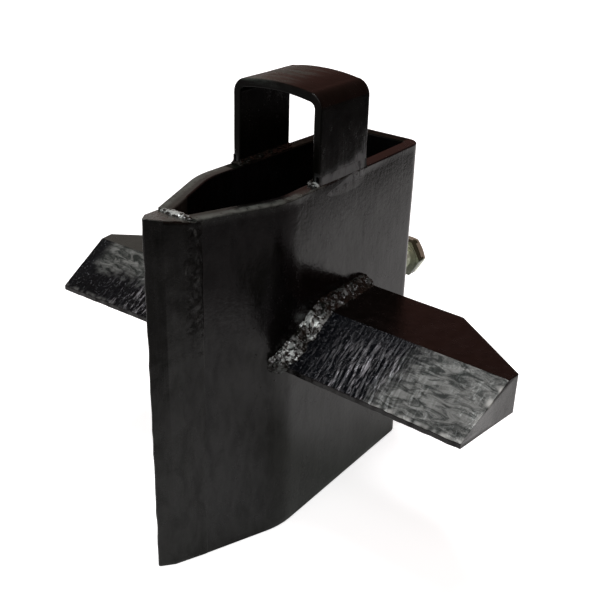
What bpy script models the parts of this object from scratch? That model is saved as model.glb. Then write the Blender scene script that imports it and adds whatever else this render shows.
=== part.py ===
"""Slip-on four-way splitting wedge: a bent steel sleeve with a solid nose, two wings, a handle and a set bolt.

Metres, +Z up. The nose points to -Y, the set bolt to +Y and the wings to +X (right) and -X (left).
The origin is under the middle of the whole object, on the plane that the sleeve stands on.
Outlines are written with Y counted from the nose's cutting edge, and place() moves them to the origin.
"""
import math

import bmesh
import bpy
from mathutils import Matrix, Vector

GAP = 0.0003                        # clearance left between touching pieces

# Sleeve
SLEEVE_HEIGHT = 0.203
SLEEVE_LENGTH = 0.2025
WALL = 0.008
SEAM = Vector((0.0128, 0.0228))     # where the plate's outside meets the nose bar
KNEE = Vector((0.0308, 0.0693))     # where the front and rear flanks would cross
KNEE_RADIUS = 0.048
BACK_CORNER = Vector((0.0278, SLEEVE_LENGTH))
BACK_RADIUS = 0.0086

# Nose bar
EDGE_HALF_WIDTH = 0.0006
CUTTING_BEVEL = Vector((0.0062, 0.0070))
NOSE_RISE = 0.0042                  # how far the bar's top stands over the rim at the cutting edge
NOSE_DROP = 0.0012                  # how far it has dropped under the rim at the seam
GROOVE = 0.003                      # weld groove between bar and plate

# Wings: sections are (y, z) from the front edge and the underside
WING_THICKNESS = 0.0226
WING_DEPTH = 0.080
WING_BEVEL_RUN = 0.037              # how far the front bevel reaches back on top
WING_LAND = 0.0030                  # blunt height of the cutting edge
WING_SWEEP = 0.0035                 # how far the tip lies ahead of the root
WING_ROOT_X = 0.022
WING_WALL_X = 0.033                 # about where the wing leaves the sleeve
WING_TIP_X = 0.148
WING_TIP_SLANT = 0.005              # how much shorter the tip is at its front
TIP_BACK = 0.046                    # tip's back corner, behind the front edge
CLIP_START_X = 0.1005               # where the clipped back corner starts
RIGHT_WING_FRONT = 0.0638
RIGHT_WING_UNDERSIDE = 0.1099
LEFT_WING_FRONT = 0.0685
LEFT_WING_UNDERSIDE = 0.1012

# Handle
HANDLE_FRONT = 0.0975
HANDLE_WIDTH = 0.0435
HANDLE_HALF_SPAN = 0.0294
HANDLE_RISE = 0.050
STRAP = 0.0048
STRAP_RADIUS = 0.0088               # outside of the bends
STRAP_CROWN = 0.0018                # how far the middle of the grip is arched up

# Set bolt, M16 with a 2 mm pitch, and the nut welded on the back
BOLT_HEIGHT = 0.1080
BOLT_RADIUS = 0.008
THREAD_DEPTH = 0.0011
THREAD_PITCH = 0.002
THREAD_STEPS = 16                   # points round one turn
BOLT_LENGTH = 0.060
HEAD_WIDTH = 0.024                  # across the flats
HEAD_THICKNESS = 0.010
HEAD_START = 0.237
NUT_WIDTH = 0.0255
NUT_THICKNESS = 0.013
ROUND_STEPS = 32

# Welds
WING_FILLET = 0.0045                # on the sleeve
WING_TOE = 2.0                      # how many times further the wings' fillets reach out along the wing
HANDLE_FILLET = 0.0026
HANDLE_FLUSH = 0.0006
NUT_FILLET = 0.0038
CAP_REACH = 0.0090                  # half length of the bead behind the nose bar's top
CAP_HALF_WIDTH = 0.0024
CAP_HEIGHT = 0.0012
RIPPLE_STEP = 0.0042                # spacing of the ripples along a weld
RIPPLE = 0.11                       # how much the ripples change a weld's size

CENTRE_Y = 0.5 * (HEAD_START + HEAD_THICKNESS)


def clear_scene():
    for old in list(bpy.data.objects):
        bpy.data.objects.remove(old, do_unlink=True)


def paint(name, colour, roughness, metallic):
    material = bpy.data.materials.new(name)
    material.use_nodes = True
    shader = material.node_tree.nodes["Principled BSDF"]
    shader.inputs["Base Color"].default_value = (*colour, 1.0)
    shader.inputs["Roughness"].default_value = roughness
    shader.inputs["Metallic"].default_value = metallic
    return material


# ---------------------------------------------------------------- mesh helpers

def place(x, y, z):
    """A point whose Y is counted from the nose's edge, in the object's own frame."""
    return Vector((x, y - CENTRE_Y, z))


def mesh_object(name, bm):
    bmesh.ops.recalc_face_normals(bm, faces=bm.faces[:])
    mesh = bpy.data.meshes.new(name)
    bm.to_mesh(mesh)
    bm.free()
    item = bpy.data.objects.new(name, mesh)
    bpy.context.scene.collection.objects.link(item)
    return item


def loft(name, rings, closed=False):
    """Skin rings of points that all have the same count; an open row of rings gets end faces."""
    bm = bmesh.new()
    rows = [[bm.verts.new(point) for point in ring] for ring in rings]
    count = len(rows[0])
    pairs = list(zip(rows, rows[1:]))
    if closed:
        pairs.append((rows[-1], rows[0]))
    else:
        bm.faces.new(rows[0])
        bm.faces.new(rows[-1])
    for low, high in pairs:
        for i in range(count):
            j = (i + 1) % count
            bm.faces.new((low[i], low[j], high[j], high[i]))
    return mesh_object(name, bm)


def prism(name, outline, bottom, top):
    """An upright prism over an outline of (x, y) points."""
    bm = bmesh.new()
    floor = bm.faces.new([bm.verts.new(place(x, y, bottom)) for x, y in outline])
    pushed = bmesh.ops.extrude_face_region(bm, geom=[floor])["geom"]
    raised = [item for item in pushed if isinstance(item, bmesh.types.BMVert)]
    bmesh.ops.translate(bm, verts=raised, vec=(0.0, 0.0, top - bottom))
    return mesh_object(name, bm)


def turned(name, profile, sides=ROUND_STEPS):
    """A solid turned round local Z from (radius, z) points, listed from one end to the other."""
    rings = []
    for radius, z in profile:
        angles = [2.0 * math.pi * i / sides for i in range(sides)]
        rings.append([Vector((radius * math.cos(a), radius * math.sin(a), z)) for a in angles])
    return loft(name, rings)


def combine(target, tool, operation="DIFFERENCE"):
    """Apply a Boolean at once and drop the tool that made it."""
    tool.hide_render = True
    tool.display_type = "WIRE"
    modifier = target.modifiers.new("combine", "BOOLEAN")
    modifier.operation = operation
    modifier.solver = "EXACT"
    modifier.object = tool
    bpy.context.view_layer.update()
    graph = bpy.context.evaluated_depsgraph_get()
    target.data = bpy.data.meshes.new_from_object(target.evaluated_get(graph))
    target.modifiers.remove(modifier)
    bpy.data.objects.remove(tool, do_unlink=True)
    return target


def finish(item, name, material, edge=0.0):
    """Name a piece, give it its material, ease its edges and shade its round faces smooth."""
    item.name = name
    item.data.name = name
    item.data.materials.clear()
    item.data.materials.append(material)
    item.data.shade_smooth()
    item.data.set_sharp_from_angle(angle=math.radians(32.0))
    if edge > 0.0:
        bevel = item.modifiers.new("eased edges", "BEVEL")
        bevel.width = edge
        bevel.segments = 1
        bevel.limit_method = "ANGLE"
        bevel.angle_limit = math.radians(40.0)
    return item


# ---------------------------------------------------------------- flat outlines

def meet(first, second):
    """Where two lines cross, each given as a point and a direction."""
    point, run = first
    other, side = second
    distance = (other - point).cross(side) / run.cross(side)
    return point + run * distance


def shifted(start, end, distance):
    """The line from start to end, moved to its left by distance."""
    run = (end - start).normalized()
    return start + Vector((-run.y, run.x)) * distance, run


def round_corner(before, corner, after, radius, steps):
    """Points of an arc that rounds one corner of an outline."""
    back = (before - corner).normalized()
    ahead = (after - corner).normalized()
    half = 0.5 * back.angle(ahead)
    middle = corner + (back + ahead).normalized() * (radius / math.sin(half))
    start = corner + back * (radius / math.tan(half)) - middle
    end = corner + ahead * (radius / math.tan(half)) - middle
    spokes = [start.slerp(end, step / steps).normalized() for step in range(steps + 1)]
    return [middle + spoke * radius for spoke in spokes]


def half_outline(inset, front_y):
    """One side of the sleeve from the front to the middle of the back, moved in by inset."""
    front = shifted(SEAM, KNEE, inset)
    rear = shifted(KNEE, BACK_CORNER, inset)
    back = shifted(BACK_CORNER, Vector((0.0, SLEEVE_LENGTH)), inset)
    start = meet(front, (Vector((0.0, front_y)), Vector((1.0, 0.0))))
    knee = meet(front, rear)
    corner = meet(rear, back)
    middle = Vector((0.0, corner.y))
    points = [start]
    points += round_corner(start, knee, corner, KNEE_RADIUS - inset, 6)
    points += round_corner(knee, corner, middle, BACK_RADIUS - inset, 5)
    return points


def mirrored(points):
    return [Vector((-point.x, point.y)) for point in reversed(points)]


# ---------------------------------------------------------------- welds

def ripple(i):
    return 1.0 + RIPPLE * math.sin(2.4 * i) + 0.5 * RIPPLE * math.sin(1.1 * i + 0.7)


def outward_walk(corners):
    """Points and outward directions round a convex outline, fanned out at each corner."""
    stations = []
    count = len(corners)
    for i, corner in enumerate(corners):
        before = (corner - corners[i - 1]).normalized()
        after = (corners[(i + 1) % count] - corner).normalized()
        first = Vector((before.y, -before.x))
        last = Vector((after.y, -after.x))
        turns = max(1, round(math.degrees(first.angle(last)) / 35.0))
        stations += [(corner, first.slerp(last, turn / turns)) for turn in range(turns + 1)]
        run = corners[(i + 1) % count] - corner
        steps = max(1, round(run.length / RIPPLE_STEP))
        stations += [(corner + run * step / steps, last) for step in range(1, steps)]
    return stations


def fillet_ring(name, corners, size, surface, toe=1.0):
    """A rippled fillet all round a convex outline, anticlockwise, that stands on a surface.

    size(outward) is the fillet's leg on the side that faces outward, toe is how many times longer
    its other leg is, and surface(point, height) gives the place of an outline point at a height
    over the surface.
    """
    rings = []
    for i, (corner, outward) in enumerate(outward_walk(corners)):
        leg = size(outward) * ripple(i)
        section = [(GAP, GAP)]
        for share in (0.0, 0.3, 0.6, 1.0):
            bulge = 0.16 * leg * math.sin(math.pi * share)
            section.append((GAP + leg * (1.0 - share) + bulge, GAP + toe * (leg * share + bulge)))
        rings.append([surface(corner + outward * away, height) for away, height in section])
    return loft(name, rings, closed=True)


# ---------------------------------------------------------------- pieces

def sleeve_block(grow):
    """The sleeve's whole outside as one solid, taller than the sleeve, for cutting neighbours."""
    side = half_outline(-grow, SEAM.y)
    return prism("sleeve block", side + mirrored(side), -0.01, SLEEVE_HEIGHT + 0.01)


def bolt_hole(start, end):
    hole = turned("bolt hole", [(BOLT_RADIUS + GAP, start), (BOLT_RADIUS + GAP, end)])
    hole.data.transform(Matrix.Rotation(math.radians(-90.0), 4, "X"))
    hole.location = place(0.0, 0.0, BOLT_HEIGHT)
    return hole


def sleeve_outline():
    """The bent plate seen from above: out along one side, round the back and home along the inside."""
    outer = half_outline(0.0, SEAM.y + GAP)
    front = outer[0]
    outer[0:1] = [front - Vector((GROOVE, 0.0)), front + (outer[1] - front).normalized() * GROOVE]
    inner = half_outline(WALL, SEAM.y + GAP)
    left_inside = [Vector((-point.x, point.y)) for point in inner]
    return outer + mirrored(outer) + left_inside + inner[::-1]


def make_sleeve(material):
    sleeve = prism("sleeve", sleeve_outline(), 0.0, SLEEVE_HEIGHT)
    combine(sleeve, bolt_hole(SLEEVE_LENGTH - 2.0 * WALL, SLEEVE_LENGTH + WALL))
    return finish(sleeve, "sleeve_plate", material, edge=0.0007)


def nose_outline():
    flank = (SEAM - CUTTING_BEVEL).normalized()
    half = [
        Vector((EDGE_HALF_WIDTH, 0.0)),
        CUTTING_BEVEL,
        SEAM - flank * GROOVE,
        SEAM - Vector((GROOVE, 0.0)),
    ]
    return half + mirrored(half)


def make_nose(material):
    """The bar, its top sloping down from the cutting edge to the seam."""
    bar = prism("nose", nose_outline(), 0.0, SLEEVE_HEIGHT)
    for vertex in bar.data.vertices:
        if vertex.co.z > 0.5 * SLEEVE_HEIGHT:
            share = (vertex.co.y + CENTRE_Y) / SEAM.y
            vertex.co.z += NOSE_RISE - (NOSE_RISE + NOSE_DROP) * share
    return finish(bar, "nose_bar", material, edge=0.0005)


def make_seam_weld(name, side, material):
    """The filled groove between bar and plate, its face ground nearly flush."""
    flank = (KNEE - SEAM).normalized()
    outward = Vector((flank.y, -flank.x))
    root = SEAM - Vector((GROOVE - 2.0 * GAP, 0.0))
    rings = []
    count = 26
    for i in range(count + 1):
        proud = 0.0004 * (1.0 + 0.6 * math.sin(1.9 * i))
        face = [
            SEAM - flank * (GROOVE - 3.0 * GAP),
            SEAM - flank * 0.4 * GROOVE + outward * proud,
            SEAM + flank * 0.5 * GROOVE + outward * proud,
            SEAM + flank * (GROOVE - 2.0 * GAP),
            root,
        ]
        height = GAP + (SLEEVE_HEIGHT - NOSE_DROP - GAP) * i / count
        rings.append([place(side * point.x, point.y, height) for point in face])
    return finish(loft(name, rings), name, material)


def make_cap_weld(material):
    """A low bead on the rim across the joint behind the nose bar."""
    rings = []
    count = 9
    for i in range(count):
        x = CAP_REACH * (2.0 * i / (count - 1) - 1.0)
        wide = CAP_HALF_WIDTH * ripple(i)
        tall = CAP_HEIGHT * ripple(i + 3) * (0.6 if i in (0, count - 1) else 1.0)
        ring = []
        for step in range(7):
            angle = math.pi * step / 6
            ring.append(place(x, SEAM.y + wide * math.cos(angle), SLEEVE_HEIGHT + GAP + tall * math.sin(angle)))
        rings.append(ring)
    return finish(loft("cap", rings), "nose_cap_weld", material)


def wing_section():
    return [
        Vector((0.0, 0.0)),
        Vector((WING_DEPTH, 0.0)),
        Vector((WING_DEPTH, WING_THICKNESS)),
        Vector((WING_BEVEL_RUN, WING_THICKNESS)),
        Vector((0.0, WING_LAND)),
    ]


def wing_bar(side, front, underside):
    """The bar before its tip is shaped, swept forward a little from root to tip."""
    rings = []
    for x in (WING_ROOT_X, WING_TIP_X + 0.01):
        lead = WING_SWEEP * (x - WING_WALL_X) / (WING_TIP_X - WING_WALL_X)
        rings.append([place(side * x, front + p.x - lead, underside + p.y) for p in wing_section()])
    return loft("wing bar", rings)


def wing_plan(side, front):
    """The wing's outline from above, with its slanted end and its clipped back corner."""
    tip_front = front - WING_SWEEP
    outline = [
        Vector((0.0, tip_front - 0.01)),
        Vector((WING_TIP_X - WING_TIP_SLANT, tip_front - 0.01)),
        Vector((WING_TIP_X - WING_TIP_SLANT, tip_front)),
        Vector((WING_TIP_X, front + TIP_BACK)),
        Vector((CLIP_START_X, front + WING_DEPTH - WING_SWEEP)),
        Vector((CLIP_START_X, front + WING_DEPTH + 0.01)),
        Vector((0.0, front + WING_DEPTH + 0.01)),
    ]
    return [(side * point.x, point.y) for point in outline]


def make_wing(name, side, front, underside, material):
    wing = wing_bar(side, front, underside)
    combine(wing, prism("wing plan", wing_plan(side, front), 0.0, SLEEVE_HEIGHT), "INTERSECT")
    combine(wing, sleeve_block(GAP))
    return finish(wing, name, material, edge=0.0006)


def wall_x(y):
    """The half width of the sleeve's outside at a distance behind the nose."""
    side = half_outline(0.0, SEAM.y)
    for low, high in zip(side, side[1:]):
        if low.y <= y <= high.y:
            return low.x + (high.x - low.x) * (y - low.y) / (high.y - low.y)
    return BACK_CORNER.x


def make_wing_weld(name, side, front, underside, material):
    def surface(point, height):
        y = front + point.x
        return place(side * (wall_x(y) + height), y, underside + point.y)

    ring = fillet_ring(name, wing_section(), lambda outward: WING_FILLET, surface, WING_TOE)
    return finish(ring, name, material)


def strap_outline(half_span, top, radius):
    """The upturned U in (x, z): up one leg, over the arched top and down the other."""
    foot = Vector((half_span, SLEEVE_HEIGHT + GAP))
    shoulder = Vector((half_span, top - STRAP_CROWN))
    half = [foot] + round_corner(foot, shoulder, Vector((0.0, shoulder.y)), radius, 6)
    straight = half_span - radius
    for share in (0.75, 0.5, 0.25):
        half.append(Vector((straight * share, shoulder.y + STRAP_CROWN * (1.0 - share * share))))
    return half + [Vector((0.0, top))] + mirrored(half)


def make_handle(material):
    top = SLEEVE_HEIGHT + HANDLE_RISE
    outside = strap_outline(HANDLE_HALF_SPAN, top, STRAP_RADIUS)
    inside = strap_outline(HANDLE_HALF_SPAN - STRAP, top - STRAP, STRAP_RADIUS - STRAP)
    outline = outside + inside[::-1]
    rings = []
    for y in (HANDLE_FRONT, HANDLE_FRONT + HANDLE_WIDTH):
        rings.append([place(point.x, y, point.y) for point in outline])
    return finish(loft("handle", rings), "handle_strap", material, edge=0.0008)


def make_handle_weld(name, side, material):
    rear = HANDLE_FRONT + HANDLE_WIDTH
    inner, outer = sorted((side * HANDLE_HALF_SPAN, side * (HANDLE_HALF_SPAN - STRAP)))
    corners = [Vector(corner) for corner in (
        (inner, HANDLE_FRONT),
        (outer, HANDLE_FRONT),
        (outer, rear),
        (inner, rear),
    )]

    def surface(point, height):
        return place(point.x, point.y, SLEEVE_HEIGHT + height)

    def size(outward):
        """Ground down on the outside, where the leg is flush with the sleeve."""
        outside = max(0.0, side * outward.x)
        return HANDLE_FILLET + (HANDLE_FLUSH - HANDLE_FILLET) * outside

    return finish(fillet_ring(name, corners, size, surface), name, material)


def hexagon(width, start, end):
    """A hexagonal prism along local Z, flats at the given width and its outer corners turned off."""
    block = turned("hexagon", [(width / math.sqrt(3.0), start), (width / math.sqrt(3.0), end)], sides=6)
    corner = width / math.sqrt(3.0)
    chamfer = 0.55 * (corner - 0.5 * width)
    profile = [(corner + 0.001, start - 0.001), (corner + 0.001, end - chamfer), (0.48 * width, end)]
    combine(block, turned("hexagon chamfer", profile), "INTERSECT")
    return block


def make_nut(material):
    nut = hexagon(NUT_WIDTH, SLEEVE_LENGTH + GAP, SLEEVE_LENGTH + NUT_THICKNESS)
    nut.data.transform(Matrix.Rotation(math.radians(-90.0), 4, "X"))
    nut.data.transform(Matrix.Translation(place(0.0, 0.0, BOLT_HEIGHT)))
    combine(nut, bolt_hole(SLEEVE_LENGTH - WALL, SLEEVE_LENGTH + 2.0 * NUT_THICKNESS))
    return finish(nut, "anchor_nut", material)


def make_nut_weld(material):
    corner = NUT_WIDTH / math.sqrt(3.0)
    corners = []
    for i in range(6):
        angle = math.pi * i / 3.0
        corners.append(Vector((corner * math.cos(angle), corner * math.sin(angle))))

    def surface(point, height):
        return place(point.x, SLEEVE_LENGTH + height, BOLT_HEIGHT + point.y)

    return finish(fillet_ring("nut", corners, lambda outward: NUT_FILLET, surface), "nut_weld", material)


def thread(start, end):
    """A solid helical thread along local Z between two heights, with loose ends to be trimmed."""
    turns = math.ceil((end - start) / THREAD_PITCH) + 1
    count = turns * THREAD_STEPS
    root_radius = BOLT_RADIUS - THREAD_DEPTH
    bm = bmesh.new()
    crests = []
    roots = []
    for i in range(count + 1):
        angle = 2.0 * math.pi * i / THREAD_STEPS
        height = start + THREAD_PITCH * (i / THREAD_STEPS - 1.0)
        spoke = Vector((math.cos(angle), math.sin(angle), 0.0))
        crests.append(bm.verts.new(spoke * BOLT_RADIUS + Vector((0.0, 0.0, height))))
        roots.append(bm.verts.new(spoke * root_radius + Vector((0.0, 0.0, height + 0.5 * THREAD_PITCH))))
    for i in range(count):
        bm.faces.new((crests[i], crests[i + 1], roots[i + 1], roots[i]))
    for i in range(count - THREAD_STEPS):
        j = i + THREAD_STEPS
        bm.faces.new((roots[i], roots[i + 1], crests[j + 1], crests[j]))
    lower = crests[:THREAD_STEPS + 1] + [roots[0]]
    upper = roots[count - THREAD_STEPS:] + [crests[count]]
    for loop, side in ((lower, -1.0), (upper, 1.0)):
        height = loop[0].co.z + side * THREAD_PITCH
        hub = bm.verts.new((0.0, 0.0, height))
        for i, corner in enumerate(loop):
            bm.faces.new((corner, loop[(i + 1) % len(loop)], hub))
    return mesh_object("thread", bm)


def make_bolt(material):
    """Built along local Z with the underside of the head at zero, then laid along Y."""
    bolt = thread(-BOLT_LENGTH, 0.0)
    tip = 0.0018
    trim = [(BOLT_RADIUS - tip, -BOLT_LENGTH), (BOLT_RADIUS + 0.0005, tip - BOLT_LENGTH), (BOLT_RADIUS + 0.0005, 0.0005)]
    combine(bolt, turned("shank trim", trim), "INTERSECT")
    combine(bolt, hexagon(HEAD_WIDTH, 0.0, HEAD_THICKNESS), "UNION")
    bolt.rotation_euler.x = math.radians(-90.0)
    bolt.location = place(0.0, HEAD_START, BOLT_HEIGHT)
    return finish(bolt, "set_bolt", material)


def build():
    clear_scene()
    enamel = paint("black_enamel", (0.012, 0.012, 0.013), 0.22, 0.0)
    bar_enamel = paint("nose_enamel", (0.016, 0.016, 0.017), 0.26, 0.0)
    wing_enamel = paint("wing_enamel", (0.014, 0.013, 0.013), 0.28, 0.0)
    weld_enamel = paint("weld_enamel", (0.020, 0.020, 0.021), 0.30, 0.0)
    zinc = paint("zinc_plate", (0.62, 0.60, 0.52), 0.35, 1.0)

    make_sleeve(enamel)
    make_nose(bar_enamel)
    make_cap_weld(weld_enamel)
    make_handle(enamel)
    sides = (
        ("right", 1.0, RIGHT_WING_FRONT, RIGHT_WING_UNDERSIDE),
        ("left", -1.0, LEFT_WING_FRONT, LEFT_WING_UNDERSIDE),
    )
    for word, side, front, underside in sides:
        make_seam_weld(f"seam_weld_{word}", side, weld_enamel)
        make_wing(f"wing_{word}", side, front, underside, wing_enamel)
        make_wing_weld(f"wing_weld_{word}", side, front, underside, weld_enamel)
        make_handle_weld(f"handle_weld_{word}", side, weld_enamel)
    make_nut(enamel)
    make_nut_weld(weld_enamel)
    make_bolt(zinc)


build()
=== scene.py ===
import random
from math import atan2, cos, degrees, exp, pi, radians, sin, sqrt, tan

import bmesh
import bpy
from mathutils import Matrix, Vector, noise


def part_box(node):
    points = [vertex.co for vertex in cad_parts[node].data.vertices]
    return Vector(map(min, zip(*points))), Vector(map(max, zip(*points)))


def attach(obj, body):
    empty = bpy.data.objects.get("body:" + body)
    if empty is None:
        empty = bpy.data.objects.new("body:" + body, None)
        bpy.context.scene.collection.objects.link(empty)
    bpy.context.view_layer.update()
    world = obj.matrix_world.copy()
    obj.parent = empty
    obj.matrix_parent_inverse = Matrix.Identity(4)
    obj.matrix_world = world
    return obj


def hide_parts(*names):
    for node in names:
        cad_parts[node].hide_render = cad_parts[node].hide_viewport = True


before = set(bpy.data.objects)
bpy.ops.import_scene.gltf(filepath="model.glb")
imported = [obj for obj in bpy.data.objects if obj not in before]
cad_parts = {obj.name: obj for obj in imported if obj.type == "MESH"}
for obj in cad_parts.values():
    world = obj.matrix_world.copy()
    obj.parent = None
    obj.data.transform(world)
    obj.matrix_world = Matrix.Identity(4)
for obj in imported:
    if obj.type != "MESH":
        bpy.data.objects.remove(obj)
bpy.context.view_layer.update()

# Sleeve; outlines are (x, y) with y counted from the nose's cutting edge
SLEEVE_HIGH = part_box("sleeve_plate")[1]
NOSE_LOW, NOSE_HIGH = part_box("nose_bar")
HEIGHT = SLEEVE_HIGH.z
EDGE_Y = NOSE_LOW.y
LENGTH = SLEEVE_HIGH.y - EDGE_Y
WALL = 0.008
SEAM = Vector((0.0128, 0.0228))
KNEE = Vector((0.0308, 0.0693))
KNEE_RADIUS = 0.048
BACK_CORNER = Vector((0.0278, LENGTH))
BACK_RADIUS = 0.0086
RIM_ROUND = 0.0007
PLATE_WAVE = 0.00016  # how far the plate's flanks wander from flat

# Nose bar
EDGE_HALF_WIDTH = 0.0006
CUTTING_BEVEL = Vector((0.0062, 0.0070))
NOSE_RISE = NOSE_HIGH.z - HEIGHT
NOSE_DROP = 0.0012
GROOVE = 0.003
NOSE_EASE = 0.0004  # the rounding of all its edges

# Wings
WING_THICKNESS = 0.0226
WING_DEPTH = 0.080
WING_BEVEL_RUN = 0.037
WING_LAND = 0.0030
WING_SWEEP = 0.0035
WING_WALL_X = 0.033
WING_TIP_X = 0.148
WING_TIP_SLANT = 0.005
TIP_BACK = 0.046
CLIP_START_X = 0.1005
WING_ROUND = 0.0004
SUPPORT = 0.00025  # how close to a rounded edge the next mesh line is, to keep the flat flat
WINGS = {  # side of the sleeve, where the front edge is and how high the underside is
    "right": (1.0, 0.0638, 0.1099),
    "left": (-1.0, 0.0685, 0.1012),
}

# Flame-cut bevels
DRAG_SPACING = 0.0021  # between the coarse drag lines
DRAG_DEPTH = 0.00026
DRAG_LAG = 0.0045  # how far a line has run towards the tip by the bevel's lower edge
CUT_STEP = 0.00045  # mesh spacing along a bevel
PALE_FROM = 0.088  # where the cut face turns from glossy to dull and pale, the pale a painted sheen
PALE_BLEND = 0.014
PALE_SLANT = -0.012  # how much further out that starts at the bevel's top edge
NICKED = 0.003  # how far back the nicks in a wing's front edge reach

# Handle
HANDLE_FRONT = 0.0975
HANDLE_WIDTH = 0.0435
HANDLE_HALF_SPAN = 0.0294
HANDLE_RISE = 0.050
STRAP = 0.0048
STRAP_RADIUS = 0.0088
STRAP_CROWN = 0.0018
STRAP_ROUND = 0.0008
STRAP_WAVE = 0.00020
STRAP_INSET = 0.00022  # keeps the waves inside the CAD's faces

# Set bolt and nut
BOLT_HEIGHT = 0.1080
BOLT_RADIUS = 0.008
THREAD_DEPTH = 0.0011
THREAD_PITCH = 0.002
BOLT_LENGTH = 0.060
HEAD_WIDTH = 0.024
HEAD_THICKNESS = 0.010
HEAD_START = 0.237
NUT_WIDTH = 0.0255
NUT_THICKNESS = 0.013
NUT_SUNK = 0.0004  # how far the nut reaches into the sleeve
THREAD_GAP = 0.0003
WASHER_FACE = 0.0004  # the thin round face under the head
WASHER_RADIUS = 0.475 * HEAD_WIDTH
TIP_CHAMFER = 0.0018
BORE_CHAMFER = 0.0009
CONE_SLOPE = 0.577  # of the chamfer that is turned on a hexagon's end, 30 degrees
HEX_ROUND = 0.0006  # the rounding of a hexagon's corners
# how far from the head's underside along its flats the painted shade reaches, as a share of the head's
# thickness
SHADED_SHARE = 0.6
HEX_STEPS = 8  # mesh steps along each of its flats

# Welds
WING_FILLET = 0.0045  # on the sleeve
WING_TOE = 2.0  # how many times further the beads reach out along the wing
HANDLE_FILLET = 0.0026
NUT_FILLET = 0.0038
BEAD_STEP = 0.0005  # mesh spacing along a bead
BEAD_STEPS = 20  # mesh steps across a bead
GLINT_CLUMPS = ((0.14, 0.13), (0.66, 0.17))  # middle and reach of each clump of bare metal and painted glints, as shares of the bevel
SINK = 0.0006  # how far a bead reaches into what it joins
SEAM_ON_PLATE = 0.0026  # the seam welds, ground nearly flush: their reach to either side
SEAM_ON_BAR = 0.0088
SEAM_PROUD = 0.00042
CAP_REACH = 0.0104  # the bead on the rim behind the nose bar: to either side of the middle
CAP_DEPTH = 0.0030  # and to its front and back
CAP_RISE = 0.0014
BLEND_BELOW = 0.0120  # the ground-off weld outside the handle's feet, from the rim
BLEND_ABOVE = 0.0050
BLEND_PROUD = 0.00030
BURIED = 0.0022  # how deep the backs of the ground welds lie in the steel
RIM_PALE_TO = 0.075  # the rim is worn bright from the nose to here, and its outer edge carries a painted highlight
PALER_INSIDE_TO = 0.041  # and the plate's inside is paler brownish grey to here
GROUND_HEIGHT = 0.010  # the handle's legs are ground pale up to here

# Camera
VIEW_AZIMUTH = 36.65
VIEW_ELEVATION = 26.56
VIEW_ROLL = 1.74
CAMERA_PLACE = Vector((0.3065, -0.4122, 0.3750))
LENS = 58.25
FLOOR_SIZE = 14.0


# ---- materials

PAINT_IOR = 1.36
HANDLE_IOR = 1.24
WING_IOR = 1.45
CUT_IOR = 1.19
RIM_IOR = 1.08
ORANGE_PEEL = 0.00007  # depths of the paint's relief
BROAD_WAVES = 0.00014
PLATE_PAINT = ((0.0018, 0.0019, 0.0014), (0.0046, 0.0044, 0.0048))  # its darker and lighter patches
SHEET_RIGHT = 0.305  # the white paper ends here and the plain floor goes on
SHEET_FRONT = -0.222
SHEET_SOFT = 0.018
SHEET_GLOW = (0.084, 0.122, 0.105)  # painted light: the paper's glow as the object's gloss sees it
BACKDROP_GLOW = (0.67, 0.69, 0.69)  # painted light: the glow of what is seen directly, which keeps the drop shadow faint
BACKDROP_WHITE = (0.80, 0.80, 0.80)
FLOOR_NEAR = 0.40  # off the paper the floor is painted darker over this distance from the object, a painted shade for the light's fall-off
FLOOR_FAR = 0.75
SIDE_NEAR = 0.08  # but only to the object's right
SIDE_FAR = 0.18


class Graph:
    """A node tree, with short ways to add the nodes that it needs."""

    def __init__(self, tree):
        self.tree = tree

    def node(self, kind, inputs, **settings):
        """Add a node; an input is given as its value or as the socket that drives it."""
        item = self.tree.nodes.new(kind)
        for name, value in settings.items():
            setattr(item, name, value)
        for socket, value in inputs.items():
            if isinstance(value, bpy.types.NodeSocket):
                self.tree.links.new(value, item.inputs[socket])
            else:
                item.inputs[socket].default_value = value
        return item

    def spread(self, value, low, high, to_low=0.0, to_high=1.0):
        """Stretch the range from low to high over the range from to_low to to_high."""
        limits = {"Value": value, "From Min": low, "From Max": high, "To Min": to_low, "To Max": to_high}
        return self.node("ShaderNodeMapRange", limits, interpolation_type="SMOOTHSTEP").outputs["Result"]

    def sum(self, first, second, operation="ADD"):
        return self.node("ShaderNodeMath", {0: first, 1: second}, operation=operation).outputs["Value"]

    def times(self, first, second):
        return self.sum(first, second, "MULTIPLY")

    def blend(self, share, first, second):
        """Mix two colours, each given as a colour or as a socket."""
        ends = [(*value, 1.0) if isinstance(value, tuple) else value for value in (first, second)]
        return self.node("ShaderNodeMix", {0: share, 6: ends[0], 7: ends[1]}, data_type="RGBA").outputs[2]

    def seen(self):
        """One for what the camera sees directly and zero for what lights or shows in the object."""
        return self.node("ShaderNodeLightPath", {}).outputs["Is Camera Ray"]


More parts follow.
